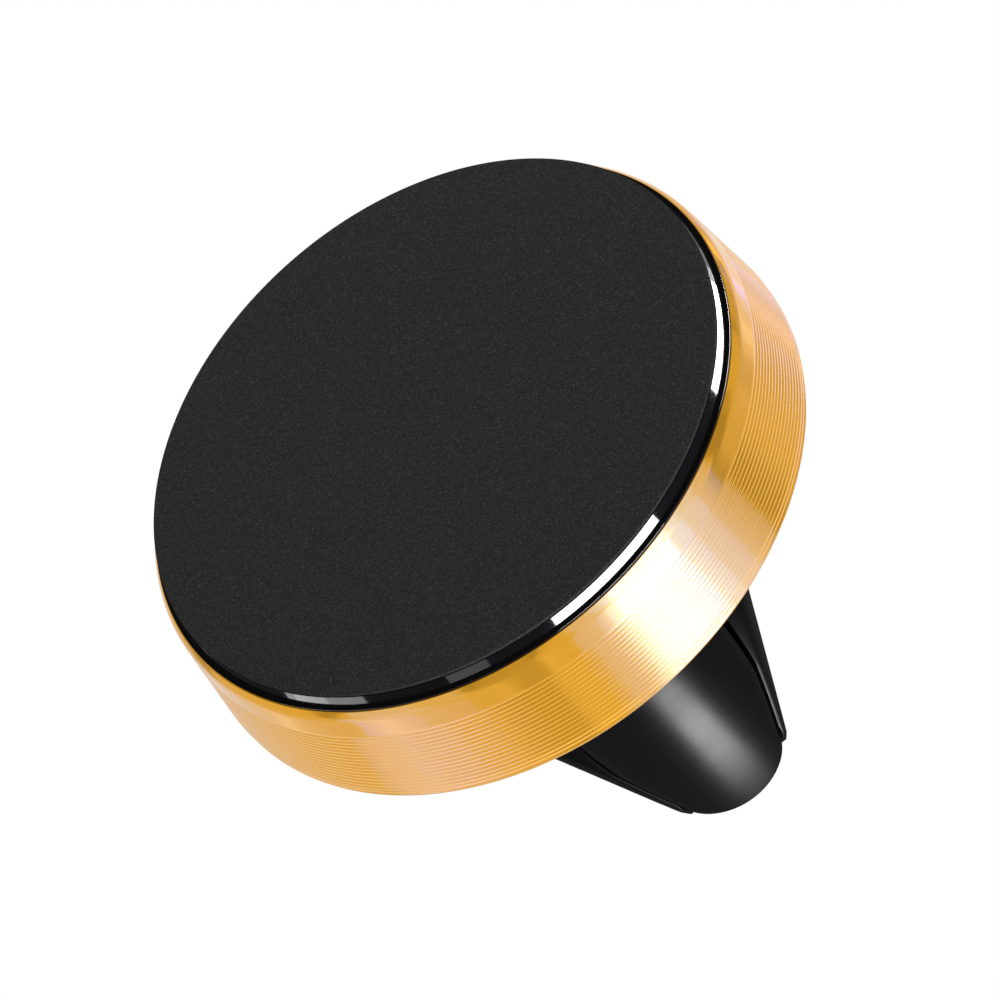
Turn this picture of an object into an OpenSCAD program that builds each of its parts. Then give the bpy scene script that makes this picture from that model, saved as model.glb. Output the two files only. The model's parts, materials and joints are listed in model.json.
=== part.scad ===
// Magnetic phone mount for a car's air vent.
// A round magnetic head turns on a ball stud, the ball turns in a seat inside the clip, and the
// clip's four fingers grip a blade of the vent.
//
// Frame: the mount's axis lies along Y and +Z is up. The head faces -Y, towards the driver, and the
// clip points along +Y, into the vent. The origin is on the axis where the fingers grip the blade.
// Every "z" below is a station along the axis, counted back from the front edge of the trim ring.

/* [Head] */
// Largest diameter of the head, at the back of the trim ring
head_d = 40; // [36:0.5:48]
// Depth of the trim ring, front edge to back edge
head_depth = 7.9; // [7.5:0.1:9]
// How much smaller the trim ring's radius is at its front edge than at its crest
ring_flare = 0.83; // [0.7:0.01:0.9]
// Length of the smooth band at the front of the trim ring
ring_plain_band = 1.9; // [1:0.1:3]
// Number of turned grooves behind the smooth band
groove_count = 18; // [6:1:24]
// Depth of one turned groove
groove_depth = 0.05; // [0.02:0.01:0.1]
// Width of the bevel at the back edge of the trim ring
ring_bevel = 0.3; // [0.1:0.05:0.5]
// Height of the face above the trim ring's front edge
face_rise = 1.07; // [0.9:0.01:1.5]
// Thickness of the rubber disc on the face
disc_t = 0.2; // [0.15:0.05:0.4]
// Number of magnets in the tray
magnet_count = 6; // [4:1:6]
// Diameter of one magnet
magnet_d = 8; // [6:0.5:8]
// Thickness of one magnet
magnet_t = 2; // [1.5:0.1:2]

/* [Ball joint] */
// Diameter of the ball
ball_d = 8; // [7.6:0.1:8]
// Station of the ball's centre
ball_z = 15.8; // [15.8:0.1:16.2]
// Diameter of the stud between the ball and its flange
neck_d = 3.8; // [3:0.1:3.8]
// Radial clearance of everything that turns in a bore
running_gap = 0.05; // [0.02:0.01:0.1]
// Number of flutes round the locking collar
flute_count = 24; // [12:1:36]

/* [Clip] */
// Station at which the clip's radius and the fingers' width are given
grip_ref_z = 25; // [25:0.5:26]
// Radius of the clip's outer skin there
grip_r = 8.05; // [7.8:0.05:8.6]
// How much that radius falls for each millimetre further back
grip_taper = 0.315; // [0.29:0.005:0.33]
// Radius of the arc across a finger's skin
skin_bend_r = 9.2; // [8.6:0.1:10]
// Half the width of a finger at the same station
finger_half_w = 5.34; // [5:0.01:5.6]
// How much the half width falls for each millimetre further back
finger_narrowing = 0.081; // [0.05:0.001:0.1]
// How much faster it falls towards the tips, for each square millimetre
finger_curve = 0.0068; // [0:0.0002:0.008]
// Station of the finger tips
tip_z = 38; // [36:0.1:40]
// Radius of the rounded corners at a finger's tip
tip_round = 3.6; // [2:0.1:3.8]
// Width of the two crossed slots between the fingers
slot_w = 0.5; // [0.4:0.1:1]
// Station of the grip point, which is the origin
grip_z = 31; // [30:0.5:33]

/* [Hidden] */
$fn = 96;
eps = 0.05;

// Head, from the outside in
head_r = head_d / 2;
ring_front_r = head_r - ring_flare;
ring_crest_share = 0.85;
ring_crest_z = head_depth * ring_crest_share;
ring_wall = 0.37;
ring_lip_z = 0.35;
ring_lip_drop = 0.25;
ring_bore_r = ring_front_r - ring_wall;
ring_rear_bore_r = ring_bore_r - 0.35;
ring_rib_r = ring_bore_r - 1.3;
groove_margin = 0.25;
back_edge_step = 0.05;
rib_front_z = 5.2;
rib_back_z = 6.2;
plate_r = ring_bore_r - running_gap;
flange_w = 0.29;
flange_lap = 0.1;
flange_edge = 0.12;
flange_step = 0.22;
wall_foot_r = plate_r - flange_w;
wall_draft = 0.04;
face_r = wall_foot_r - wall_draft;
disc_r = face_r - 0.02;
disc_soft_edge = 0.05;
disc_back_z = disc_t - face_rise;
adhesive_t = 0.05;
adhesive_inset = 0.4;
plate_front_z = disc_back_z + adhesive_t;
plate_t = 1.7;
skirt_wall = 1;
tray_front_z = plate_front_z + plate_t;
magnet_play = 0.05;
tray_t = magnet_t + 2 * magnet_play;
tray_r = 13;
magnet_ring_r = 8.6;
yoke_front_z = tray_front_z + tray_t;
yoke_t = 0.8;
yoke_play = 0.2;
cover_t = head_depth - rib_back_z;
cover_r = ring_rear_bore_r - running_gap;
cover_edge = 0.2;
cover_rim_w = 1.6;
cover_rim_slope = 0.3;
cover_dish = 0.3;
dish_floor_z = head_depth - cover_dish;
hub_r = 4.2;
hub_z = 9.2;
hub_foot = 2.4;
hub_edge = 0.3;

// Screws that pull the back cover against the face plate, with the ring's rib between them
screw_count = 3;
screw_ring_r = 15.3;
screw_first_angle = 30;
screw_shank_r = 0.8;
screw_head_r = 1.5;
screw_head_t = 0.8;
screw_tip_z = 2.6;
screw_tip_room = 0.3;
screw_play = 0.1;
screw_recess_w = 0.45;
screw_recess_share = 0.6;
boss_r = 1.8;
web_l = 1.5;
web_back = 1;

// Stud through the back cover's hub
shank_r = 2;
washer_play = 0.08;
nut_flats = 7;
nut_front_z = 4.2;
nut_back_z = 5.7;
stud_tip_z = 4;
washer_t = 0.25;
washer_r = 3.6;
friction_washer_r = 4.1;
friction_washer_t = 0.2;
stud_flange_r = 3.4;
stud_flange_z = hub_z + washer_t;
stud_flange_t = 0.75;
stud_flange_bevel = 0.4;

// Ball seat and the socket that holds it
ball_r = ball_d / 2;
seat_bore_r = ball_r + running_gap;
seat_r = 5.6;
seat_front_z = ball_z - 2.9;
seat_back_z = ball_z + 2.4;
seat_back_hole_r = 3;
mouth_angle = 52;
mouth_flare = 0.45;
seat_slit_w = 0.8;
seat_slit_count = 4;
seat_spring_bore_r = 3.4;
seat_spring_r = 5.4;
seat_spring_t = 0.15;
socket_r = seat_r + running_gap;
socket_floor_z = 18.7;
ball_relief = 0.15;
base_end_z = 20.3;
base_r = 7.6;
thread_r = 7.2;
collar_front_z = ball_z - 3.6;
collar_back_z = 14.8;
collar_r = 8.8;
collar_round = 0.8;
collar_mouth_r = 3.9;
collar_mouth_land = 0.1;
collar_flare_r = 5.8;
flute_r = 0.45;
flute_sink_share = 0.4;

// Rubber skin and fingers
sleeve_front_z = 15;
sleeve_round = 0.7;
notch_front_z = 16.4;
root_gap = 0.6;
root_z = base_end_z + root_gap;
knuckle_r = 0.8;
knuckle_ring_r = 6.2;
knuckle_play = 0.1;
arm_w = 4.6;
arm_t = 1.5;
arm_lean = 11.2;
arm_length = 14.2;
first_finger_angle = 45;
reach = 30;
centre_hole_r = 1.6;
skin_steps = 8;

// Radius of the clip's outer skin at station z
function skin_r(z) = grip_r - grip_taper * (z - grip_ref_z);

// Half the width of a finger at station z
function finger_w(z) =
    finger_half_w - finger_narrowing * (z - grip_ref_z) - finger_curve * pow(z - grip_ref_z, 2);

// Stations at equal steps from z1 to z2
function stations(z1, z2) = [for (i = [0:skin_steps]) z1 + (z2 - z1) * i / skin_steps];

// Outer radius of the trim ring at station z: it widens evenly from the front to the crest
function ring_r(z) = ring_front_r + ring_flare * min(z, ring_crest_z) / ring_crest_z;

// Puts a part that is built along +Z, by station, into the mount's own frame
module placed() translate([0, -grip_z, 0]) rotate([-90, 0, 0]) children();

// A ring, washer or disc between two stations
module ring_solid(z1, z2, r_out, r_in = 0) {
    difference() {
        translate([0, 0, z1]) cylinder(h = z2 - z1, r = r_out);
        if (r_in > 0) translate([0, 0, z1 - eps]) cylinder(h = z2 - z1 + 2 * eps, r = r_in);
    }
}

// Repeats its children at equal steps round the axis
module around(count, ring_r, first_angle = 0) {
    for (i = [0:count - 1]) rotate([0, 0, first_angle + i * 360 / count])
        translate([ring_r, 0, 0]) children();
}

module at_finger(i) rotate([0, 0, first_finger_angle + 90 * (i - 1)]) children();

// A conical spring washer
module spring_washer(z1, z2, r_in, r_out, t) {
    rotate_extrude() polygon([[r_in, z1], [r_out, z2 - t], [r_out, z2], [r_in, z1 + t]]);
}

// ---- head ----

module face_disc() color([0.15, 0.15, 0.155]) placed() {
    rotate_extrude() polygon([
        [0, -face_rise], [disc_r - disc_soft_edge, -face_rise],
        [disc_r, disc_soft_edge - face_rise], [disc_r, disc_back_z], [0, disc_back_z]]);
}

module disc_adhesive() color([0.75, 0.72, 0.62]) placed()
    ring_solid(disc_back_z, plate_front_z, disc_r - adhesive_inset);

// Front plate: a polished wall round the face, a flange over the trim ring's front edge, a skirt
// inside the ring and three screw bosses
module face_plate() color([0.03, 0.03, 0.035]) placed() difference() {
    union() {
        rotate_extrude() polygon([
            [0, plate_front_z], [face_r, plate_front_z], [wall_foot_r, -flange_step],
            [plate_r + flange_lap, -flange_edge], [plate_r + flange_lap, 0], [plate_r, 0],
            [plate_r, rib_front_z], [plate_r - skirt_wall, rib_front_z],
            [plate_r - skirt_wall, tray_front_z], [0, tray_front_z]]);
        around(screw_count, screw_ring_r, screw_first_angle)
            ring_solid(tray_front_z - eps, rib_front_z, boss_r);
        around(screw_count, screw_ring_r + boss_r, screw_first_angle)
            translate([-web_back, -boss_r / 2, tray_front_z - eps])
                cube([web_l, boss_r, rib_front_z - tray_front_z + eps]);
    }
    around(screw_count, screw_ring_r, screw_first_angle)
        translate([0, 0, screw_tip_z - screw_tip_room])
            cylinder(h = head_depth, r = screw_shank_r);
}

// Carrier that keeps the magnets apart
module magnet_tray() color([0.2, 0.2, 0.2]) placed() difference() {
    ring_solid(tray_front_z, tray_front_z + tray_t, tray_r);
    around(magnet_count, magnet_ring_r)
        translate([0, 0, tray_front_z - eps])
            cylinder(h = tray_t + 2 * eps, r = magnet_d / 2 + magnet_play);
}

module magnet(i) color([0.72, 0.72, 0.74]) placed()
    rotate([0, 0, (i - 1) * 360 / magnet_count]) translate([magnet_ring_r, 0, 0])
        ring_solid(tray_front_z + magnet_play, tray_front_z + magnet_play + magnet_t, magnet_d / 2);

// Steel plate behind the magnets that turns their field to the front
module yoke_plate() color([0.6, 0.6, 0.6]) placed() difference() {
    ring_solid(yoke_front_z, yoke_front_z + yoke_t, plate_r - skirt_wall - yoke_play);
    around(screw_count, screw_ring_r, screw_first_angle)
        translate([0, 0, yoke_front_z - eps])
            cylinder(h = yoke_t + 2 * eps, r = boss_r + yoke_play);
    around(screw_count, screw_ring_r + boss_r, screw_first_angle)
        translate([-boss_r, -boss_r / 2 - yoke_play, yoke_front_z - eps])
            cube([2 * boss_r, boss_r + 2 * yoke_play, yoke_t + 2 * eps]);
}

// Anodised aluminium ring: smooth band, turned grooves, bevelled back edge, inner rib
module trim_ring() color([0.87, 0.66, 0.25]) placed() {
    groove_end_z = head_depth - ring_bevel - groove_margin;
    back_r = head_r - back_edge_step;
    pitch = (groove_end_z - ring_plain_band) / groove_count;
    plain = [[ring_front_r - ring_lip_drop, 0], [ring_r(ring_lip_z), ring_lip_z],
             [ring_r(ring_plain_band), ring_plain_band]];
    grooves = [for (i = [0:groove_count - 1], half = [0.5, 1])
        let (z = ring_plain_band + (i + half) * pitch)
        [ring_r(z) - (half < 1 ? groove_depth : 0), z]];
    rotate_extrude() polygon(concat(
        plain, grooves,
        [[back_r, head_depth - ring_bevel], [back_r - ring_bevel, head_depth],
         [ring_rear_bore_r, head_depth], [ring_rear_bore_r, rib_back_z],
         [ring_rib_r, rib_back_z], [ring_rib_r, rib_front_z],
         [ring_bore_r, rib_front_z], [ring_bore_r, 0]]));
}

// Back cover with the hub that the stud turns in
module back_cover() color([0.05, 0.05, 0.055]) placed() {
    difference() {
        rotate_extrude() polygon([
            [shank_r + running_gap, rib_back_z], [cover_r, rib_back_z],
            [cover_r, head_depth - cover_edge], [cover_r - cover_edge, head_depth],
            [cover_r - cover_rim_w, head_depth],
            [cover_r - cover_rim_w - cover_rim_slope, dish_floor_z], [hub_r + hub_foot, dish_floor_z],
            [hub_r, hub_z - hub_edge], [hub_r - hub_edge, hub_z], [shank_r + running_gap, hub_z]]);
        around(screw_count, screw_ring_r, screw_first_angle) {
            translate([0, 0, rib_back_z - eps])
                cylinder(h = cover_t, r = screw_shank_r + screw_play);
            translate([0, 0, dish_floor_z - screw_head_t])
                cylinder(h = cover_t, r = screw_head_r + screw_play);
        }
    }
}

// Three small cross-head screws
module cover_screws() color([0.55, 0.55, 0.57]) placed() {
    recess_r = screw_head_r * screw_recess_share;
    recess_floor_z = dish_floor_z - screw_head_t * screw_recess_share;
    around(screw_count, screw_ring_r, screw_first_angle) difference() {
        union() {
            ring_solid(screw_tip_z, dish_floor_z - screw_head_t + eps, screw_shank_r);
            ring_solid(dish_floor_z - screw_head_t, dish_floor_z, screw_head_r);
        }
        for (a = [0, 90]) rotate([0, 0, a])
            translate([-recess_r, -screw_recess_w / 2, recess_floor_z])
                cube([2 * recess_r, screw_recess_w, screw_head_t]);
    }
}

// ---- stud ----

// Thin nut on the stud's end, inside the head
module stud_nut() color([0.62, 0.62, 0.64]) placed() difference() {
    translate([0, 0, nut_front_z])
        cylinder(h = nut_back_z - nut_front_z, r = nut_flats / 2 / cos(30), $fn = 6);
    translate([0, 0, nut_front_z - eps]) cylinder(h = nut_back_z, r = shank_r);
}

module friction_washer() color([0.7, 0.7, 0.7]) placed()
    spring_washer(nut_back_z, rib_back_z, shank_r + washer_play, friction_washer_r, friction_washer_t);

module thrust_washer() color([0.92, 0.92, 0.9]) placed()
    ring_solid(hub_z, stud_flange_z, washer_r, shank_r + washer_play);

// Turned steel stud: threaded shank, flange, neck and ball
module ball_stud() color([0.8, 0.8, 0.82]) placed() {
    neck_r = neck_d / 2;
    neck_meets_ball = ball_z - sqrt(ball_r * ball_r - neck_r * neck_r) + eps;
    ring_solid(stud_tip_z, stud_flange_z, shank_r);
    rotate_extrude() polygon([
        [0, stud_flange_z], [stud_flange_r, stud_flange_z],
        [stud_flange_r, stud_flange_z + stud_flange_t - stud_flange_bevel],
        [stud_flange_r - stud_flange_bevel, stud_flange_z + stud_flange_t],
        [neck_r, stud_flange_z + stud_flange_t],
        [neck_r, neck_meets_ball], [0, neck_meets_ball]]);
    translate([0, 0, ball_z]) sphere(r = ball_r);
}

// ---- clip ----

// Slitted plastic seat that snaps over the ball and turns in the socket
module ball_seat() color([0.85, 0.85, 0.82]) placed() difference() {
    ring_solid(seat_front_z, seat_back_z, seat_r);
    translate([0, 0, ball_z]) sphere(r = seat_bore_r);
    mouth_r = seat_bore_r * sin(mouth_angle);
    mouth_z = ball_z - seat_bore_r * cos(mouth_angle);
    translate([0, 0, seat_front_z - eps])
        cylinder(h = mouth_z - seat_front_z + eps, r1 = mouth_r + mouth_flare, r2 = mouth_r);
    translate([0, 0, ball_z]) cylinder(h = reach, r = seat_back_hole_r);
    for (i = [0:seat_slit_count / 2 - 1]) rotate([0, 0, i * 360 / seat_slit_count])
        translate([-reach / 2, -seat_slit_w / 2, seat_front_z - eps])
            cube([reach, seat_slit_w, ball_z - seat_front_z]);
}

module seat_spring() color([0.7, 0.7, 0.7]) placed()
    spring_washer(seat_back_z, socket_floor_z, seat_spring_bore_r, seat_spring_r, seat_spring_t);

// Collar screwed over the socket: it keeps the seat and the ball in
module lock_collar() color([0.06, 0.06, 0.065]) placed() difference() {
    rotate_extrude() polygon([
        [collar_mouth_r, seat_front_z], [collar_mouth_r, seat_front_z - collar_mouth_land],
        [collar_flare_r, collar_front_z], [collar_r - collar_round, collar_front_z],
        [collar_r, collar_front_z + collar_round], [collar_r, collar_back_z],
        [thread_r, collar_back_z], [thread_r, seat_front_z]]);
    around(flute_count, collar_r + flute_r * flute_sink_share)
        translate([0, 0, collar_front_z - eps])
            cylinder(h = collar_back_z - collar_front_z + 2 * eps, r = flute_r);
}

// Moulded base: socket for the ball seat in front, four half-round seats for the fingers behind
module clip_base() color([0.09, 0.09, 0.095]) placed() difference() {
    union() {
        ring_solid(seat_front_z, sleeve_front_z + eps, thread_r);
        ring_solid(sleeve_front_z, base_end_z, base_r);
    }
    translate([0, 0, seat_front_z - eps])
        cylinder(h = socket_floor_z - seat_front_z + eps, r = socket_r);
    translate([0, 0, ball_z]) sphere(r = ball_r + ball_relief);
    for (i = [1:4]) at_finger(i)
        translate([knuckle_ring_r, arm_w / 2 + knuckle_play, base_end_z])
            rotate([90, 0, 0])
                cylinder(h = arm_w + 2 * knuckle_play, r = knuckle_r + running_gap);
}

// Rubber skin of the base, with the start of the notches between the fingers
module base_sleeve() color([0.07, 0.07, 0.07]) placed() difference() {
    rotate_extrude() polygon([
        [base_r, sleeve_front_z], [skin_r(sleeve_front_z) - sleeve_round, sleeve_front_z],
        [skin_r(sleeve_front_z + sleeve_round), sleeve_front_z + sleeve_round],
        [skin_r(base_end_z), base_end_z], [base_r, base_end_z]]);
    for (i = [1:4]) at_finger(i)
        translate([finger_half_w, finger_half_w, notch_front_z]) cube(reach);
}

// The strip that stiffens a finger, with a round knuckle at its root
module arm_solid() {
    translate([knuckle_ring_r, 0, base_end_z]) {
        translate([0, arm_w / 2, 0]) rotate([90, 0, 0]) cylinder(h = arm_w, r = knuckle_r);
        rotate([0, -arm_lean, 0])
            translate([-arm_t / 2, -arm_w / 2, 0]) cube([arm_t, arm_w, arm_length]);
    }
}

module finger_arm(i) color([0.3, 0.3, 0.3]) placed() at_finger(i) arm_solid();

// Outline of a finger seen from outside: sides that narrow towards a rounded tip
module finger_outline() {
    shoulder_z = tip_z - tip_round;
    shoulder_w = finger_w(shoulder_z);
    polygon(concat(
        [for (z = stations(root_z, shoulder_z)) [finger_w(z), z]],
        [for (z = stations(shoulder_z, root_z)) [-finger_w(z), z]]));
    translate([-shoulder_w + tip_round, shoulder_z]) circle(r = tip_round);
    translate([shoulder_w - tip_round, shoulder_z]) circle(r = tip_round);
    translate([tip_round - shoulder_w, shoulder_z]) square([2 * (shoulder_w - tip_round), tip_round]);
}

// The skin of a finger lies on a round bar that leans towards the axis
module skin_bar() {
    lean = atan(grip_taper);
    translate([grip_r - skin_bend_r / cos(lean), 0, grip_ref_z]) rotate([0, -lean, 0])
        cylinder(h = 2 * reach, r = skin_bend_r, center = true);
}

// Rubber body of one finger: a quarter of the tapered clip, bounded by the crossed slots
module finger_grip(i) color([0.07, 0.07, 0.07]) placed() at_finger(i) difference() {
    slot_apex = slot_w / sqrt(2);
    intersection() {
        skin_bar();
        rotate([90, 0, 90]) linear_extrude(height = reach) finger_outline();
        translate([0, 0, root_z]) linear_extrude(height = reach)
            polygon([[slot_apex, 0], [reach, reach - slot_apex], [reach, slot_apex - reach]]);
    }
    translate([0, 0, root_z - eps]) cylinder(h = reach, r = centre_hole_r);
    arm_solid();
}

face_disc();
disc_adhesive();
face_plate();
magnet_tray();
for (i = [1:magnet_count]) magnet(i);
yoke_plate();
stud_nut();
friction_washer();
back_cover();
cover_screws();
trim_ring();
thrust_washer();
ball_stud();
ball_seat();
seat_spring();
lock_collar();
clip_base();
base_sleeve();
for (i = [1:4]) finger_arm(i);
for (i = [1:4]) finger_grip(i);
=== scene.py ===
"""Looks of a magnetic phone mount for a car's air vent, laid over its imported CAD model.

The mount's axis lies along Y. Profiles are given as (radius, station) in millimetres, where a
station counts back from the front edge of the trim ring, towards +Y.
"""
import json
import math

import bmesh
import bpy
from mathutils import Matrix, Vector


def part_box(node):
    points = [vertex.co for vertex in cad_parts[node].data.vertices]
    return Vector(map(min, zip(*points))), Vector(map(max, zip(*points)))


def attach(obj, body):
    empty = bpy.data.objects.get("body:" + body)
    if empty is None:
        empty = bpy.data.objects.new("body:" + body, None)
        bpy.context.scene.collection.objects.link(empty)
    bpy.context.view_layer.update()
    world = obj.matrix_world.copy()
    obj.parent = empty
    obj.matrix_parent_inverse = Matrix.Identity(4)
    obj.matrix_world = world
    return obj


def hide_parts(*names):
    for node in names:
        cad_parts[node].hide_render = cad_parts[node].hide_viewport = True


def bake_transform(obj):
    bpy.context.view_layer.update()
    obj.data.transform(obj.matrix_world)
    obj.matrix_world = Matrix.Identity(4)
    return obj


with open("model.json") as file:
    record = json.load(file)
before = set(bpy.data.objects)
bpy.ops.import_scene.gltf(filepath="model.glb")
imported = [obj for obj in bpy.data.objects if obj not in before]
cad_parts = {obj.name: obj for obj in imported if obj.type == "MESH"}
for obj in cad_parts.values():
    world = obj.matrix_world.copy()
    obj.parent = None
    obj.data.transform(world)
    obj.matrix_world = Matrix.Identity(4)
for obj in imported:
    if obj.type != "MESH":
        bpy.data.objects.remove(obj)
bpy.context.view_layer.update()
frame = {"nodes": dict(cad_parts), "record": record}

MM = 0.001
CLIP = "clip"
HEAD = "head"
STUD = "stud"
NODES = frame["nodes"]

RING_FRONT_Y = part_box("trim_ring")[0][1]


def front_of(node):
    """The station of a CAD node's front end."""
    return (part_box(node)[0][1] - RING_FRONT_Y) / MM


def back_of(node):
    """The station of a CAD node's back end."""
    return (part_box(node)[1][1] - RING_FRONT_Y) / MM


def radius_of(node):
    """The radius of a round CAD node."""
    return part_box(node)[1][0] / MM


HEAD_R = radius_of("trim_ring")
HEAD_DEPTH = back_of("trim_ring")
TIP_Z = back_of("finger_grip_1")
FACE_Z = front_of("face_disc")
DISC_R = radius_of("face_disc")
FLANGE_R = radius_of("face_plate")
COVER_R = radius_of("back_cover")
COVER_FRONT_Z = front_of("back_cover")
HUB_Z = back_of("back_cover")
BALL_R = radius_of("ball_stud")
BALL_Z = back_of("ball_stud") - BALL_R


# ---- geometry helpers ----

def polar(radius, angle, station):
    """The point at a radius, an angle round the axis and a station."""
    return Vector((radius * MM * math.cos(angle),
                   RING_FRONT_Y + station * MM,
                   -radius * MM * math.sin(angle)))


def outward_at(angle):
    """The direction straight out from the axis, at an angle round it."""
    return Vector((math.cos(angle), 0, -math.sin(angle)))


def steps(first, last, count):
    """Equal steps from first to last, both included."""
    return [first + (last - first) * i / count for i in range(count + 1)]


def filleted(corners, arc_steps=6):
    """A closed profile whose corners (radius, station, fillet) are rounded off."""
    points = []
    for i, (radius, station, fillet) in enumerate(corners):
        corner = Vector((radius, station))
        if fillet == 0:
            points.append(corner)
            continue
        before = Vector(corners[i - 1][:2]) - corner
        after = Vector(corners[(i + 1) % len(corners)][:2]) - corner
        first = corner + before.normalized() * fillet
        last = corner + after.normalized() * fillet
        for s in steps(0, 1, arc_steps):
            points.append(first * (1 - s) ** 2 + corner * 2 * s * (1 - s) + last * s ** 2)
    return points


SHARP_ANGLE = 35
WELD_DISTANCE = 1e-7


def new_piece(name, verts, faces, material, sharp_angle=SHARP_ANGLE):
    """A smooth-shaded mesh object, with sharp edges where its faces turn quickly."""
    mesh = bpy.data.meshes.new(name)
    mesh.from_pydata(verts, [], faces)
    work = bmesh.new()
    work.from_mesh(mesh)
    bmesh.ops.remove_doubles(work, verts=work.verts, dist=WELD_DISTANCE)
    bmesh.ops.recalc_face_normals(work, faces=work.faces)
    work.to_mesh(mesh)
    work.free()
    mesh.shade_smooth()
    mesh.set_sharp_from_angle(angle=math.radians(sharp_angle))
    mesh.materials.append(material)
    piece = bpy.data.objects.new(name, mesh)
    bpy.context.scene.collection.objects.link(piece)
    return piece


def same_radius(radius, angle):
    """Leaves a turned shape round."""
    return radius


def turned(name, profile, material, turns=288, shaped=same_radius):
    """Turns a closed profile round the axis. shaped(radius, angle) may vary its radius."""
    count = len(profile)
    verts = [polar(shaped(radius, angle), angle, station)
             for angle in steps(0, 2 * math.pi, turns)[:-1]
             for radius, station in profile]
    faces = []
    for i in range(turns):
        for j in range(count):
            a, b = i * count, (i + 1) % turns * count
            k = (j + 1) % count
            faces.append((a + j, a + k, b + k, b + j))
    return new_piece(name, verts, faces, material)


def apply_modifiers(piece, sharp_angle=SHARP_ANGLE):
    """Turns what a piece's modifiers make into its mesh, and shades it smooth again."""
    graph = bpy.context.evaluated_depsgraph_get()
    mesh = bpy.data.meshes.new_from_object(piece.evaluated_get(graph))
    piece.modifiers.clear()
    piece.data = mesh
    mesh.shade_smooth()
    mesh.set_sharp_from_angle(angle=math.radians(sharp_angle))


def carve(piece, cutter):
    """Cuts one mesh out of another, and removes the cutter."""
    cut = piece.modifiers.new("cut", "BOOLEAN")
    cut.object = cutter
    cut.solver = "EXACT"
    apply_modifiers(piece)
    bpy.data.objects.remove(cutter)


# ---- materials ----

def shader(name, colour, roughness, metallic=0.0, specular=0.5):
    """A material with one Principled shader: returns the material, its node tree and shader."""
    material = bpy.data.materials.new(name)
    material.use_nodes = True
    tree = material.node_tree
    bsdf = tree.nodes["Principled BSDF"]
    bsdf.inputs["Base Color"].default_value = (*colour, 1)
    bsdf.inputs["Roughness"].default_value = roughness
    bsdf.inputs["Metallic"].default_value = metallic
    bsdf.inputs["Specular IOR Level"].default_value = specular
    material.diffuse_color = (*colour, 1)
    return material, tree, bsdf


def noise(tree, grain_mm, stretch=(1, 1, 1), detail=3.0):
    """Noise whose grain is about grain_mm across, stretched along the object's axes."""
    place = tree.nodes.new("ShaderNodeTexCoord")
    scaled = tree.nodes.new("ShaderNodeMapping")
    scaled.inputs["Scale"].default_value = [s / (grain_mm * MM) for s in stretch]
    texture = tree.nodes.new("ShaderNodeTexNoise")
    texture.inputs["Scale"].default_value = 1
    texture.inputs["Detail"].default_value = detail
    tree.links.new(place.outputs["Object"], scaled.inputs["Vector"])
    tree.links.new(scaled.outputs["Vector"], texture.inputs["Vector"])
    return texture.outputs["Fac"]


def spread(tree, value, low, high, from_low=0.3, from_high=0.7):
    """Maps a noise value onto a range of numbers."""
    ramp = tree.nodes.new("ShaderNodeMapRange")
    ramp.inputs["From Min"].default_value = from_low
    ramp.inputs["From Max"].default_value = from_high
    ramp.inputs["To Min"].default_value = low
    ramp.inputs["To Max"].default_value = high
    tree.links.new(value, ramp.inputs["Value"])
    return ramp.outputs["Result"]


def tinted(tree, value, stops):
    """Maps a value onto colours: stops are (position, colour)."""
    ramp = tree.nodes.new("ShaderNodeValToRGB")
    band = ramp.color_ramp
    for i, (position, colour) in enumerate(stops):
        stop = band.elements[i] if i < 2 else band.elements.new(position)
        stop.position = position
        stop.color = (*colour, 1)
    tree.links.new(value, ramp.inputs["Fac"])
    return ramp.outputs["Color"]


def bumped(tree, bsdf, value, height_mm, strength=1.0):
    """Raises the surface by a height given by a value."""
    bump = tree.nodes.new("ShaderNodeBump")
    bump.inputs["Strength"].default_value = strength
    bump.inputs["Distance"].default_value = height_mm * MM
    tree.links.new(value, bump.inputs["Height"])
    tree.links.new(bump.outputs["Normal"], bsdf.inputs["Normal"])


def face_rubber():
    """Charcoal rubber with a fine mineral grain and lighter specks."""
    material, tree, bsdf = shader("face_rubber", (0.03, 0.03, 0.031), 0.75, specular=0.2)
    grain = noise(tree, 0.075, detail=1.0)
    colour = tinted(tree, grain, [
        (0.3, (0.02, 0.02, 0.021)), (0.52, (0.032, 0.032, 0.033)),
        (0.66, (0.05, 0.05, 0.051)), (0.76, (0.13, 0.13, 0.13))])
    tree.links.new(colour, bsdf.inputs["Base Color"])
    bumped(tree, bsdf, noise(tree, 0.11), 0.012, 0.5)
    return material


def gloss_plastic():
    """Polished black plastic, with a trace of mould texture in its roughness."""
    material, tree, bsdf = shader("gloss_black_plastic", (0.002, 0.002, 0.0025), 0.06)
    sheen = spread(tree, noise(tree, 2.5), 0.035, 0.075)
    tree.links.new(sheen, bsdf.inputs["Roughness"])
    colour = tinted(tree, noise(tree, 6.0), [
        (0.2, (0.0015, 0.0015, 0.002)), (0.8, (0.003, 0.003, 0.0035))])
    tree.links.new(colour, bsdf.inputs["Base Color"])
    return material


def satin_plastic(name, dark, light, grain_mm=0.12):
    """Moulded plastic with an eroded, satin surface."""
    material, tree, bsdf = shader(name, light, 0.5, specular=0.4)
    tree.links.new(tinted(tree, noise(tree, 1.4), [(0.3, dark), (0.7, light)]),
                   bsdf.inputs["Base Color"])
    tree.links.new(spread(tree, noise(tree, 0.5), 0.42, 0.58), bsdf.inputs["Roughness"])
    bumped(tree, bsdf, noise(tree, grain_mm), 0.006, 0.5)
    return material


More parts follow.
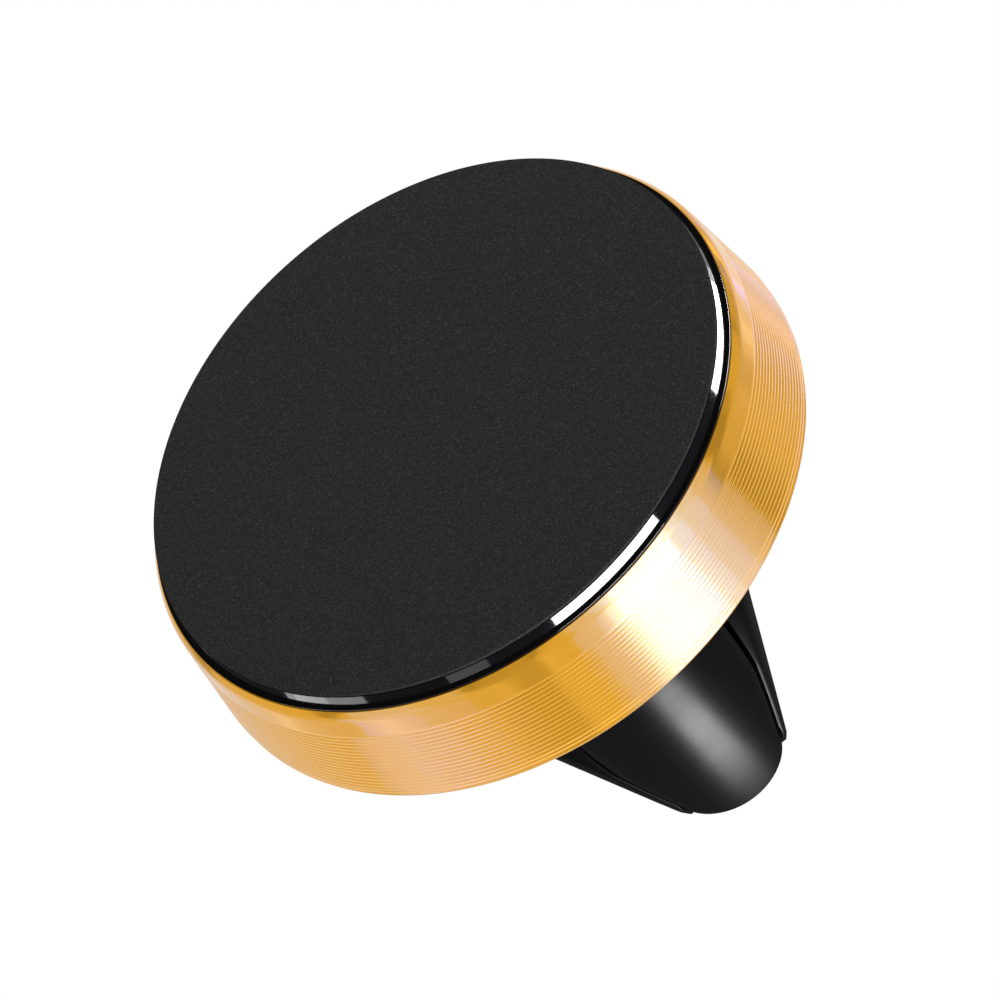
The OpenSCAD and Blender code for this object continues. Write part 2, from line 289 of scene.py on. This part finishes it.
def gold_aluminium():
    """Gold anodised aluminium with fine turning lines under a clear, glossy anodic film."""
    material, tree, bsdf = shader("gold_anodised_aluminium", (0.87, 0.41, 0.014), 0.25, metallic=1)
    lines = noise(tree, 0.035, stretch=(0.0005, 1, 0.0005), detail=2.0)
    tree.links.new(spread(tree, lines, 0.15, 0.22), bsdf.inputs["Roughness"])
    colour = tinted(tree, lines, [(0.3, (0.84, 0.39, 0.011)), (0.7, (0.9, 0.43, 0.017))])
    tree.links.new(colour, bsdf.inputs["Base Color"])
    bumped(tree, bsdf, lines, 0.0012, 0.5)
    bsdf.inputs["Anisotropic"].default_value = 0.9
    bsdf.inputs["Anisotropic Rotation"].default_value = 0.25
    tangent = tree.nodes.new("ShaderNodeTangent")
    tangent.direction_type = "RADIAL"
    tangent.axis = "Y"
    tree.links.new(tangent.outputs["Tangent"], bsdf.inputs["Tangent"])
    bsdf.inputs["Coat Weight"].default_value = 0.45
    bsdf.inputs["Coat Roughness"].default_value = 0.04
    bsdf.inputs["Coat IOR"].default_value = 1.5
    return material


def steel(name, dark, light, roughness):
    """Turned or plated steel with circular tool marks."""
    material, tree, bsdf = shader(name, light, roughness, metallic=1)
    marks = noise(tree, 0.05, stretch=(0.05, 1, 0.05))
    tree.links.new(tinted(tree, marks, [(0.3, dark), (0.7, light)]), bsdf.inputs["Base Color"])
    tree.links.new(spread(tree, marks, roughness * 0.7, roughness * 1.4),
                   bsdf.inputs["Roughness"])
    bumped(tree, bsdf, marks, 0.001, 0.4)
    return material


def clip_rubber():
    """Smooth black silicone rubber with a faint dusty variation."""
    material, tree, bsdf = shader("black_rubber", (0.012, 0.012, 0.012), 0.32)
    colour = tinted(tree, noise(tree, 1.8), [
        (0.25, (0.009, 0.009, 0.0095)), (0.75, (0.014, 0.014, 0.0145))])
    tree.links.new(colour, bsdf.inputs["Base Color"])
    tree.links.new(spread(tree, noise(tree, 2.5), 0.31, 0.34), bsdf.inputs["Roughness"])
    bumped(tree, bsdf, noise(tree, 0.05), 0.001, 0.2)
    return material


def clear_film():
    """Double-sided adhesive film under the face disc."""
    material, tree, bsdf = shader("adhesive", (0.75, 0.72, 0.62), 0.4)
    colour = tinted(tree, noise(tree, 0.4), [(0.3, (0.7, 0.67, 0.57)), (0.7, (0.8, 0.77, 0.67))])
    tree.links.new(colour, bsdf.inputs["Base Color"])
    return material


GREY = (0.045, 0.045, 0.047)
DARK_GREY = (0.035, 0.035, 0.036)
MATERIALS = {
    "face_rubber": face_rubber(),
    "adhesive": clear_film(),
    "gloss_black_plastic": gloss_plastic(),
    "satin_black_plastic": satin_plastic(
        "satin_black_plastic", (0.013, 0.013, 0.014), (0.018, 0.018, 0.019)),
    "inner_plastic": satin_plastic("inner_plastic", DARK_GREY, GREY),
    "white_plastic": satin_plastic("white_plastic", (0.72, 0.72, 0.68), (0.8, 0.8, 0.76)),
    "gold_anodised_aluminium": gold_aluminium(),
    "plated_steel": steel("plated_steel", (0.5, 0.5, 0.5), (0.62, 0.62, 0.62), 0.3),
    "screw_steel": steel("screw_steel", (0.12, 0.12, 0.125), (0.2, 0.2, 0.205), 0.3),
    "polished_steel": steel("polished_steel", (0.7, 0.7, 0.71), (0.8, 0.8, 0.81), 0.14),
    "nickel_plated_magnet": steel("nickel_plated_magnet", (0.62, 0.6, 0.57), (0.72, 0.7, 0.67), 0.2),
    "black_rubber": clip_rubber(),
}


# ---- head ----

def put_on(piece, body, slot, *nodes):
    """Rides a piece on a body, in place of CAD nodes. The slot argument is not used."""
    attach(piece, body)
    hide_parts(*nodes)
    return piece


def make_face_disc():
    """The thin rubber sheet that the phone rests on."""
    edge = 0.03
    back_z = back_of("face_disc")
    profile = filleted([
        (0, FACE_Z, 0), (DISC_R / 2, FACE_Z, 0), (DISC_R, FACE_Z, edge),
        (DISC_R, back_z, 0), (0, back_z, 0)])
    disc = turned("rubber_face_disc", profile, MATERIALS["face_rubber"])
    return put_on(disc, HEAD, "face_rubber", "face_disc")


def make_front_bezel():
    """The glossy front plate: a steep wall round the face, down to a flange, and a skirt."""
    front_z = front_of("face_plate")
    skirt_z = back_of("face_plate")
    wall_top_r = DISC_R + 0.02
    wall_top_round = 0.02
    wall_foot_r = DISC_R + 0.16
    wall_foot_z = -0.22
    flange_z = -0.12
    flange_round = 0.03
    plate_back_z = 0.88
    skirt_r = FLANGE_R - 0.1
    skirt_wall = 1
    profile = filleted([
        (0, front_z, 0), (wall_top_r, front_z, wall_top_round),
        (wall_foot_r, wall_foot_z, flange_round), (FLANGE_R, flange_z, flange_round),
        (FLANGE_R, 0, 0), (skirt_r, 0, 0), (skirt_r, skirt_z, 0),
        (skirt_r - skirt_wall, skirt_z, 0), (skirt_r - skirt_wall, plate_back_z, 0),
        (0, plate_back_z, 0)])
    bezel = turned("glossy_front_bezel", profile, MATERIALS["gloss_black_plastic"], turns=360)
    return put_on(bezel, HEAD, "gloss_black_plastic", "face_plate")


RING_FLARE = 0.83
RING_FRONT_R = HEAD_R - RING_FLARE
RING_CREST_Z = HEAD_DEPTH * 0.85
RING_BORE_R = RING_FRONT_R - 0.37
SMOOTH_BAND_Z = 1.9
GROOVES_END_Z = HEAD_DEPTH - 0.55


def ring_outer_r(z):
    """The ring's outer radius: a straight taper, then straight along."""
    return RING_FRONT_R + RING_FLARE * min(z, RING_CREST_Z) / RING_CREST_Z


def ring_front():
    """The ring's outline from its bore, over the rolled lip, to the end of the smooth band."""
    lip_drop = 0.25
    lip_edge_round = 0.03
    lip_z = 0.35
    lip_round = 0.25
    taper_z = 1
    outline = filleted([
        (RING_BORE_R, 0, 0), (RING_FRONT_R - lip_drop, 0, lip_edge_round),
        (ring_outer_r(lip_z), lip_z, lip_round), (ring_outer_r(taper_z), taper_z, 0)])
    return outline + [(ring_outer_r(z), z) for z in steps(taper_z, SMOOTH_BAND_Z, 6)[1:]]


def ring_grooves():
    """The turned grooves: shallow round dips, side by side."""
    count = 18
    samples = 8
    depth = 0.03
    pitch = (GROOVES_END_Z - SMOOTH_BAND_Z) / count
    outline = []
    for i in range(1, count * samples + 1):
        z = SMOOTH_BAND_Z + i * pitch / samples
        dip = (1 - math.cos(2 * math.pi * i / samples)) / 2
        outline.append((ring_outer_r(z) - depth * dip, z))
    return outline


def make_trim_ring():
    """The gold ring, and the narrow back edge that is a piece of its own."""
    crest_drop = 0.03
    crest_end_z = HEAD_DEPTH - 0.48
    bevel_drop = 0.08
    bevel_z = HEAD_DEPTH - 0.3
    back_r = HEAD_R - 0.42
    edge_r = HEAD_R - 0.5
    edge_front_z = HEAD_DEPTH - 0.2
    edge_bore_r = RING_BORE_R - 0.35
    edge_round = 0.05
    rib_r = RING_BORE_R - 1.3
    rib_front_z = 5.2
    rib_back_z = 6.2
    back = filleted([
        (HEAD_R - crest_drop, crest_end_z, 0.1), (HEAD_R - bevel_drop, bevel_z, 0.14),
        (back_r, HEAD_DEPTH, 0.1), (edge_r, HEAD_DEPTH, 0), (edge_r, edge_front_z, 0),
        (edge_bore_r, edge_front_z, 0), (edge_bore_r, rib_back_z, 0), (rib_r, rib_back_z, 0),
        (rib_r, rib_front_z, 0), (RING_BORE_R, rib_front_z, 0)])
    edge = filleted([
        (edge_r, edge_front_z, 0), (edge_r, HEAD_DEPTH, 0),
        (edge_bore_r, HEAD_DEPTH, edge_round), (edge_bore_r, edge_front_z, 0)])
    gold = MATERIALS["gold_anodised_aluminium"]
    ring = turned("grooved_trim_ring", ring_front() + ring_grooves() + back, gold, turns=432)
    rear_edge = turned("trim_ring_rear_edge", edge, gold, turns=432)
    for piece in (ring, rear_edge):
        put_on(piece, HEAD, "gold_anodised_aluminium", "trim_ring")
    return ring, rear_edge


SCREW_COUNT = 3
SCREW_RING_R = 15.3
SCREW_FIRST_ANGLE = math.radians(30)
SCREW_HEAD_R = 1.5
SCREW_HEAD_T = 0.8
COVER_DISH = 0.3


def screw_angle(index):
    """The angle round the mount's axis at which a screw sits."""
    return SCREW_FIRST_ANGLE + index * 2 * math.pi / SCREW_COUNT


def turned_about_screw(name, profile, index, material, turns=48):
    """Turns a profile round one of the screws' axes instead of the mount's own."""
    piece = turned(name, profile, material, turns=turns)
    shift = outward_at(screw_angle(index)) * SCREW_RING_R * MM
    piece.data.transform(Matrix.Translation(shift))
    return piece


def make_back_cover():
    """The dished back cover, with its hub and three sunk screw seats."""
    material = MATERIALS["satin_black_plastic"]
    floor_z = HEAD_DEPTH - COVER_DISH
    rim_w = 1.6
    rim_slope_w = 0.3
    hub_r = 4.2
    hub_foot_r = hub_r + 2.4
    bore_r = 2.05
    washer_play = 0.02
    screw_play = 0.12
    front_z = COVER_FRONT_Z + washer_play
    hub_z = HUB_Z - washer_play
    profile = filleted([
        (bore_r, front_z, 0), (COVER_R, front_z, 0), (COVER_R, HEAD_DEPTH, 0.2),
        (COVER_R - rim_w, HEAD_DEPTH, 0.15), (COVER_R - rim_w - rim_slope_w, floor_z, 0.2),
        (hub_foot_r, floor_z, 1.2), (hub_r, hub_z - 0.1, 0.5), (hub_r - 0.3, hub_z, 0.15),
        (bore_r, hub_z, 0.1)])
    cover = turned("rear_cover", profile, material, turns=240)
    seat_floor_z = floor_z - SCREW_HEAD_T
    seat_r = SCREW_HEAD_R + screw_play
    seat = [(0, seat_floor_z), (seat_r, seat_floor_z), (seat_r, HEAD_DEPTH + 1),
            (0, HEAD_DEPTH + 1)]
    for index in range(SCREW_COUNT):
        carve(cover, turned_about_screw("screw_seat", seat, index, material))
    return put_on(cover, HEAD, "satin_black_plastic", "back_cover")


def joined(name, pieces):
    """Puts several pieces' meshes together in the first one, and removes the others."""
    first = pieces[0]
    work = bmesh.new()
    for piece in pieces:
        work.from_mesh(piece.data)
    work.to_mesh(first.data)
    work.free()
    for piece in pieces[1:]:
        bpy.data.objects.remove(piece)
    first.name = name
    first.data.shade_smooth()
    first.data.set_sharp_from_angle(angle=math.radians(SHARP_ANGLE))
    return first


def make_screws():
    """Three small cross-head screws, sunk in the back cover."""
    material = MATERIALS["screw_steel"]
    top_z = HEAD_DEPTH - COVER_DISH
    under_z = top_z - SCREW_HEAD_T
    tip_z = front_of("cover_screws")
    shank_r = 0.8
    profile = filleted([
        (0, tip_z, 0), (shank_r, tip_z, 0.1), (shank_r, under_z, 0), (SCREW_HEAD_R, under_z, 0.05),
        (SCREW_HEAD_R, top_z - 0.15, 0.2), (SCREW_HEAD_R * 0.7, top_z, 0.3), (0, top_z, 0)])
    screws = []
    for index in range(SCREW_COUNT):
        screw = turned_about_screw("cover_screw", profile, index, material)
        angle = screw_angle(index)
        for turn in (0, math.pi / 2):
            carve(screw, cross_blade(polar(SCREW_RING_R, angle, top_z), angle + turn))
        screws.append(screw)
    return put_on(joined("cover_screw_set", screws), HEAD, "screw_steel", "cover_screws")


def cross_blade(middle, angle):
    """A thin tapered block that cuts one arm of a screw's cross."""
    length = 1.8
    width = 0.42
    depth = 0.55
    foot = 0.55
    above = 0.2
    along = outward_at(angle) * MM
    across = Vector((math.sin(angle), 0, math.cos(angle))) * MM
    down = Vector((0, -1, 0)) * MM
    verts = []
    for level, share in ((-above, 1.0), (depth, foot)):
        for side_l, side_w in ((-1, -1), (1, -1), (1, 1), (-1, 1)):
            verts.append(middle + down * level + along * side_l * share * length / 2
                         + across * side_w * width / 2)
    faces = [(0, 1, 2, 3), (4, 5, 6, 7), (0, 1, 5, 4), (1, 2, 6, 5), (2, 3, 7, 6), (3, 0, 4, 7)]
    return new_piece("cross_blade", verts, faces, MATERIALS["screw_steel"])


# ---- ball joint ----

def make_ball_stud():
    """The turned stud: shank, flange, waisted neck and polished ball."""
    shank_r = 2.0
    neck_r = 1.9
    flange_r = 3.4
    flange_edge_t = 0.4
    tip_z = front_of("ball_stud")
    flange_front_z = 9.45
    flange_back_z = 10.2
    ball = [(BALL_R * math.sin(a), BALL_Z - BALL_R * math.cos(a))
            for a in steps(math.asin(neck_r / BALL_R) + 0.03, math.pi, 40)]
    profile = filleted([
        (0, tip_z, 0), (shank_r, tip_z, 0.2), (shank_r, flange_front_z, 0),
        (flange_r, flange_front_z, 0.1), (flange_r, flange_front_z + flange_edge_t, 0.1),
        (flange_r - 0.35, flange_back_z, 0.12), (neck_r, flange_back_z, 0.25)]) + ball
    stud = turned("turned_ball_stud", profile, MATERIALS["polished_steel"], turns=128)
    return put_on(stud, STUD, "polished_steel", "ball_stud")


def make_lock_collar():
    """The fluted collar that keeps the ball seat in the clip."""
    front_z = front_of("lock_collar")
    back_z = back_of("lock_collar")
    collar_r = 8.8
    chamfer = 0.8
    mouth_r = 3.9
    flare_r = 5.8
    thread_r = 7.2
    seat_z = BALL_Z - 2.9
    flute_count = 24
    flute_depth = 0.28
    flute_share = 0.35
    fluted_from_r = collar_r - 0.5

    def fluted(radius, angle):
        phase = angle * flute_count / (2 * math.pi) % 1
        across = abs(phase - 0.5) / flute_share
        dip = flute_depth * (1 + math.cos(math.pi * min(1, across))) / 2
        return radius - dip if radius > fluted_from_r else radius

    profile = filleted([
        (mouth_r, seat_z, 0), (mouth_r, seat_z - 0.1, 0), (flare_r, front_z, 0.3),
        (collar_r - chamfer, front_z, 0.3), (collar_r, front_z + chamfer, 0.3),
        (collar_r, back_z, 0.15),
        (thread_r, back_z, 0), (thread_r, seat_z, 0)])
    collar = turned("fluted_lock_collar", profile, MATERIALS["satin_black_plastic"], turns=384,
                    shaped=fluted)
    return put_on(collar, CLIP, "satin_black_plastic", "lock_collar")


# ---- clip ----

FINGER_COUNT = 4
FINGER_FIRST_ANGLE = math.radians(45)
RUBBER_SHARP_ANGLE = 28
MOULD_EDGE_R = 0.05
SKIN_REF_Z = 25
SKIN_REF_R = 8.05
SKIN_TAPER = 0.315
SKIN_BEND_R = 9.2
FINGER_HALF_W = 5.34
FINGER_NARROWING = 0.081
FINGER_CURVE = 0.0068
TIP_ROUND = 3.6
SLOT_APEX = 0.5 / math.sqrt(2)
HOLE_R = 1.6
BASE_R = 7.65
BASE_END_Z = 20.3
ROOT_Z = 20.9
SKIN_START_Z = 16.4
RIM_W = 0.35
RIM_DROP = 0.16
EDGE_T = 0.2


def skin_r(z):
    """Radius of the clip's skin at the middle of a finger."""
    return SKIN_REF_R - SKIN_TAPER * (z - SKIN_REF_Z)


def skin_depth(t, z):
    """Distance of a finger's skin from the axis plane, t to the side of the finger's middle."""
    return skin_r(z) - SKIN_BEND_R + math.sqrt(SKIN_BEND_R ** 2 - t ** 2)


def half_width(z):
    """Half a finger's width: narrow enough to leave an edge outside the crossed slots."""
    fitted = (FINGER_HALF_W - FINGER_NARROWING * (z - SKIN_REF_Z)
              - FINGER_CURVE * (z - SKIN_REF_Z) ** 2)
    shift = SLOT_APEX + RIM_DROP + EDGE_T - skin_r(z) + SKIN_BEND_R
    room = (math.sqrt(2 * SKIN_BEND_R ** 2 - shift ** 2) - shift) / 2
    return min(fitted, room)


def inner_depth(t, z):
    """Distance of a finger's inner side from the axis plane: the base, or the crossed slots."""
    if z < ROOT_Z:
        return math.sqrt(BASE_R ** 2 - t ** 2)
    hole = math.sqrt(max(0, HOLE_R ** 2 - t ** 2))
    return max(abs(t) + SLOT_APEX, hole)


def finger_rows(inset):
    """Rows (half width, station) of a finger's outline, root to tip, drawn in by an inset."""
    shoulder_z = TIP_Z - TIP_ROUND
    shoulder_w = half_width(shoulder_z)
    stations = steps(SKIN_START_Z, BASE_END_Z, 8) + steps(ROOT_Z, shoulder_z, 36)
    rows = [(half_width(z) - inset, z) for z in stations]
    for angle in steps(0, math.pi / 2, 16)[1:]:
        radius = TIP_ROUND - inset
        rows.append((shoulder_w - TIP_ROUND + radius * math.cos(angle),
                     shoulder_z + radius * math.sin(angle)))
    return rows


def finger_points(index, columns):
    """Three sheets of points: a finger's curved face, the foot of its rim and its inner side."""
    angle = FINGER_FIRST_ANGLE + (index - 1) * math.pi / 2
    radial = outward_at(angle) * MM
    side = Vector((-math.sin(angle), 0, -math.cos(angle))) * MM

    def place(depth, t, z):
        return radial * depth + side * t + Vector((0, RING_FRONT_Y + z * MM, 0))

    shares = steps(-1, 1, columns)
    face = [place(skin_depth(w * s, z), w * s, z) for w, z in finger_rows(RIM_W) for s in shares]
    rim = [place(skin_depth(w * s, z) - RIM_DROP, w * s, z)
           for w, z in finger_rows(0) for s in shares]
    inner = [place(inner_depth(w * s, z), w * s, z) for w, z in finger_rows(0) for s in shares]
    return face, rim, inner


def sheet_faces(rows, columns, offset):
    """The faces of a sheet of points laid out in rows."""
    width = columns + 1
    faces = []
    for i in range(rows - 1):
        for j in range(columns):
            a = offset + i * width + j
            faces.append((a, a + 1, a + width + 1, a + width))
    return faces


def sheet_border(rows, columns):
    """The points round the edge of a sheet, in order."""
    width = columns + 1
    left = [i * width for i in range(rows)]
    tip = [(rows - 1) * width + j for j in range(1, columns)]
    right = [i * width + columns for i in reversed(range(rows))]
    root = list(range(columns - 1, 0, -1))
    return left + tip + right + root


def make_finger_skin(index):
    """The rubber of one finger: a curved tongue with a bevelled rim and a rounded tip."""
    columns = 32
    face, rim, inner = finger_points(index, columns)
    sheet = len(face)
    rows = sheet // (columns + 1)
    border = sheet_border(rows, columns)
    faces = sheet_faces(rows, columns, 0) + sheet_faces(rows, columns, 2 * sheet)
    for offset in (0, sheet):
        for a, b in zip(border, border[1:] + border[:1]):
            faces.append((a + offset, b + offset, b + offset + sheet, a + offset + sheet))
    skin = new_piece(f"finger_skin_{index}", face + rim + inner, faces, MATERIALS["black_rubber"],
                     sharp_angle=RUBBER_SHARP_ANGLE)
    soften_edges(skin)
    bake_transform(skin)
    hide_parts(f"finger_grip_{index}")
    return skin


def soften_edges(piece):
    """Rounds a piece's sharp edges a little, as a mould leaves them."""
    bevel = piece.modifiers.new("soft_edges", "BEVEL")
    bevel.width = MOULD_EDGE_R * MM
    bevel.segments = 2
    bevel.limit_method = "ANGLE"
    bevel.angle_limit = math.radians(RUBBER_SHARP_ANGLE)
    apply_modifiers(piece, RUBBER_SHARP_ANGLE)


def make_clip_collar():
    """The front of the clip's rubber skin: a rounded bead, and the core between the fingers."""
    front_z = front_of("base_sleeve")
    inset = 0.05
    bead_z = 17.2
    bead_step = 0.6
    core_front_r = 8.5
    core_back_r = 8.1
    core_end_z = 20.6
    profile = filleted([
        (BASE_R, front_z, 0.1), (skin_r(front_z) - inset, front_z, 0.6),
        (skin_r(bead_z) - inset, bead_z, 0.4), (core_front_r, bead_z + bead_step, 0.4),
        (core_back_r, core_end_z, 0.2), (BASE_R, core_end_z, 0)])
    collar = turned("clip_collar_bead", profile, MATERIALS["black_rubber"], turns=192)
    return put_on(collar, CLIP, "black_rubber", "base_sleeve")


# ---- finishes of the CAD nodes that stay ----

def finish_cad_nodes():
    """Gives every CAD node that stays its procedural material."""
    finishes = {row["node"]: row["material_slot"] for row in frame["record"]["subparts"]}
    for name, node in NODES.items():
        if not node.material_slots:
            node.data.materials.append(None)
        for slot in node.material_slots:
            slot.link = "OBJECT"
            slot.material = MATERIALS[finishes[name]]


# ---- camera, light and floor ----

def make_camera():
    """Looks up at the mount from in front and below, with the clip behind to the lower right."""
    azimuth = math.radians(37.856)
    elevation = math.radians(-27.92)
    roll = math.radians(17.507)
    aim = Vector((-8.812, -11.992, 7.662)) * MM
    distance = 0.30941
    forward = Vector((-math.sin(azimuth) * math.cos(elevation),
                      math.cos(azimuth) * math.cos(elevation), -math.sin(elevation)))
    data = bpy.data.cameras.new("camera")
    data.lens = 180
    data.sensor_width = 36
    data.clip_start = 0.01
    camera = bpy.data.objects.new("camera", data)
    turn = forward.to_track_quat("-Z", "Y").to_matrix().to_4x4()
    camera.matrix_world = (Matrix.Translation(aim - forward * distance) @ turn
                           @ Matrix.Rotation(roll, 4, "Z"))
    bpy.context.scene.collection.objects.link(camera)
    bpy.context.scene.camera = camera


def make_world():
    """White to the camera, a dim even grey to everything else."""
    world = bpy.data.worlds.new("studio")
    world.use_nodes = True
    tree = world.node_tree
    seen = tree.nodes["Background"]
    seen.inputs["Color"].default_value = (1, 1, 1, 1)
    seen.inputs["Strength"].default_value = 1
    fill = tree.nodes.new("ShaderNodeBackground")
    fill.inputs["Color"].default_value = (1, 1, 1, 1)
    fill.inputs["Strength"].default_value = 0.06
    choose = tree.nodes.new("ShaderNodeMixShader")
    rays = tree.nodes.new("ShaderNodeLightPath")
    tree.links.new(rays.outputs["Is Camera Ray"], choose.inputs["Fac"])
    tree.links.new(fill.outputs["Background"], choose.inputs[1])
    tree.links.new(seen.outputs["Background"], choose.inputs[2])
    tree.links.new(choose.outputs["Shader"], tree.nodes["World Output"].inputs["Surface"])
    bpy.context.scene.world = world


def make_floor():
    """A plain pale floor, well below the mount."""
    radius = 1500
    thickness = 2
    level = -0.45
    material = shader("floor", (0.86, 0.86, 0.86), 0.9, specular=0.1)[0]
    floor = turned("floor", [(0, 0), (radius, 0), (radius, thickness), (0, thickness)], material,
                   turns=96)
    floor.data.transform(Matrix.Translation((0, -RING_FRONT_Y, 0)))
    floor.data.transform(Matrix.Rotation(math.radians(90), 4, "X"))
    floor.data.transform(Matrix.Translation((0, 0, level)))
    floor.visible_glossy = False
    floor.visible_diffuse = False
    floor.visible_shadow = False
    return floor


FORWARD = Vector((0, -1, 0))
HEAD_CENTRE = polar(0, 0, 0)
# The angle round the axis of the side nearest the camera.
NEAR_SIDE = math.radians(40.8)
CARD_DISTANCE = 0.6
# The most of the head's wall, in degrees, that one card may serve.
CARD_SPAN = 30
# How far each wall's outward direction leans to the front.
BEZEL_LEAN = math.radians(13.1)
GOLD_LEAN = math.radians(7)
LIP_LEAN = math.radians(33)
FILL_LEAN = math.radians(20)
WHITE = (1, 1, 1)
# The light that gold lacks: with white light it makes gold look white.
PALE = (0.012, 0.058, 1)
# How tall, in degrees, the cards of each kind look from the head.
FILL_HEIGHT = 150
GLOW_HEIGHT = 56
STREAK_HEIGHT = 20


def card(name, heading, across, distance, size, radiance, seen_by, colour=WHITE,
         target=HEAD_CENTRE):
    """A studio card: a rectangle of even light that faces its target from a heading."""
    width, height = size
    outward = Vector(heading).normalized()
    along = (Vector(across) - outward * outward.dot(Vector(across))).normalized()
    data = bpy.data.lights.new(name, "AREA")
    data.shape = "RECTANGLE"
    data.size = width
    data.size_y = height
    data.energy = radiance * math.pi * width * height
    data.color = colour
    light = bpy.data.objects.new(name, data)
    turn = Matrix((along, outward.cross(along), outward)).transposed()
    light.matrix_world = Matrix.Translation(target + outward * distance) @ turn.to_4x4()
    light.visible_camera = False
    bpy.context.scene.collection.objects.link(light)
    light.light_linking.receiver_collection = seen_by
    return light


def lit_group(name, pieces):
    """The pieces that a set of cards shines on."""
    group = bpy.data.collections.new(name)
    for piece in pieces:
        group.objects.link(piece)
    return group


def mirrored(degrees, lean):
    """The heading that the camera sees mirrored in a wall of the head.

    The wall faces outward at an angle round the head, measured from its side nearest the camera,
    and leans to the front.
    """
    around = NEAR_SIDE - math.radians(degrees)
    normal = outward_at(around) * math.cos(lean) + FORWARD * math.sin(lean)
    view = (bpy.context.scene.camera.matrix_world.translation - HEAD_CENTRE).normalized()
    return (2 * normal.dot(view) * normal - view).normalized()


def mirrored_band(name, first, last, lean, tall, radiance, seen_by, colour=WHITE):
    """Cards, edge to edge, whose mirror image fills the head's wall from one angle to another."""
    height = 2 * CARD_DISTANCE * math.tan(math.radians(tall) / 2)
    bounds = steps(first, last, math.ceil((last - first) / CARD_SPAN))
    for i, (low, high) in enumerate(zip(bounds, bounds[1:])):
        ends = [mirrored(low, lean), mirrored(high, lean)]
        width = 2 * CARD_DISTANCE * math.tan(ends[0].angle(ends[1]) / 2)
        card(f"{name}_{i + 1}", mirrored((low + high) / 2, lean), ends[1] - ends[0],
             CARD_DISTANCE, (width, height), radiance, seen_by, colour)


def light_gold(group):
    """An even tent of light round the gold ring, and the cards that give it its highlights.

    Each fill and glow is a band of the ring: (first angle, last angle, radiance).
    """
    tent_distance = 0.4
    tent_size = (2 * tent_distance, 2 * tent_distance)
    tent_radiance = 0.42
    sides = ((1, 0, 0), (-1, 0, 0), (0, 1, 0), (0, -1, 0), (0, 0, 1), (0, 0, -1))
    for i, side in enumerate(sides):
        card(f"gold_tent_{i + 1}", side, side[1:] + side[:1], tent_distance, tent_size,
             tent_radiance, group)
    fills = ((-100, -24, 0.36), (-24, -13, 0.14), (-13, 32.5, 0.36), (39.5, 42, 0.14),
             (42, 55, 0.3), (55, 66, 0.2), (66, 100, 0.3), (2, 18, 0.55), (68, 72, 0.6),
             (78, 100, 0.22))
    for i, (first, last, radiance) in enumerate(fills):
        mirrored_band(f"gold_fill_{i + 1}", first, last, FILL_LEAN, FILL_HEIGHT, radiance,
                      group)
    glows = ((-6, 31, 3.4), (-1, 26, 5), (1, 21, 7), (3, 17, 12), (69, 72, 2.2),
             (-48, -27, 1.5), (-48, -36, 2))
    for i, (first, last, radiance) in enumerate(glows):
        for lean in (GOLD_LEAN, LIP_LEAN):
            name = f"gold_glow_{i + 1}_{round(math.degrees(lean))}"
            mirrored_band(name, first, last, lean, GLOW_HEIGHT, radiance, group, PALE)


def light_bezel(group):
    """The narrow cards that draw the white lines in the polished bezel.

    Each streak is a band of the bezel: (first angle, last angle, radiance).
    """
    streaks = ((-7, 18.5, 40), (44, 68, 40), (68, 72, 2.8), (72, 77, 0.8), (77, 82, 0.3),
               (-61, -44, 2.8), (-59, -52, 1.6), (-28, -20, 1.2))
    for i, (first, last, radiance) in enumerate(streaks):
        mirrored_band(f"bezel_streak_{i + 1}", first, last, BEZEL_LEAN, STREAK_HEIGHT, radiance,
                      group)


def light_rest(group):
    """Two broad soft lights for the face and the clip, and the clip's own small one."""
    card("top_light", (0.2, -0.3, 1), (1, 0, 0), 0.9, (0.8, 0.8), 2.5, group)
    card("front_light", (-0.5, -1, 0.1), (1, 0, 0), 0.9, (0.6, 0.6), 2.4, group)
    near = outward_at(NEAR_SIDE)
    highlight_z = 27
    card("clip_light", near * 0.19 - FORWARD * 0.98, near, 0.022, (0.006, 0.006), 6.0, group,
         target=polar(skin_r(highlight_z), NEAR_SIDE, highlight_z))


def light_disc_edge(group):
    """A card just behind the disc's plane, which lights its edge and not its face."""
    card("disc_edge_light", outward_at(NEAR_SIDE) - FORWARD * 0.38, FORWARD, 0.4, (0.3, 0.5),
         4.5, group)


def light_rear(group):
    """Two broad cards behind the mount, for the parts that only show from the back."""
    for i, side in enumerate((-0.7, 0.7)):
        card(f"rear_light_{i + 1}", (side, 1, 0.2), (1, 0, 0), 0.5, (0.7, 0.7), 1.0, group)


def light_floor(group):
    """One card above, wider than the floor, that keeps it pale from every side."""
    card("floor_light", (0, 0, 1), (1, 0, 0), 1.0, (6, 6), 1.25, group)


make_camera()
make_world()
face = make_face_disc()
bezel = make_front_bezel()
ring, rear_edge = make_trim_ring()
cover = make_back_cover()
screws = make_screws()
stud = make_ball_stud()
collar = make_lock_collar()
make_clip_collar()
for index in range(FINGER_COUNT):
    make_finger_skin(index + 1)
finish_cad_nodes()
floor = make_floor()
light_gold(lit_group("gold_ring", [ring]))
light_bezel(lit_group("bezel", [bezel]))
light_rest(lit_group("everything_else", [
    piece for piece in bpy.data.objects
    if piece.type == "MESH" and piece not in (ring, bezel, rear_edge, floor)]))
light_disc_edge(lit_group("disc_only", [face]))
light_rear(lit_group("rear_parts", [rear_edge, cover, screws, stud, collar]))
light_floor(lit_group("floor_only", [floor]))

bpy.context.scene.view_settings.view_transform = "Standard"
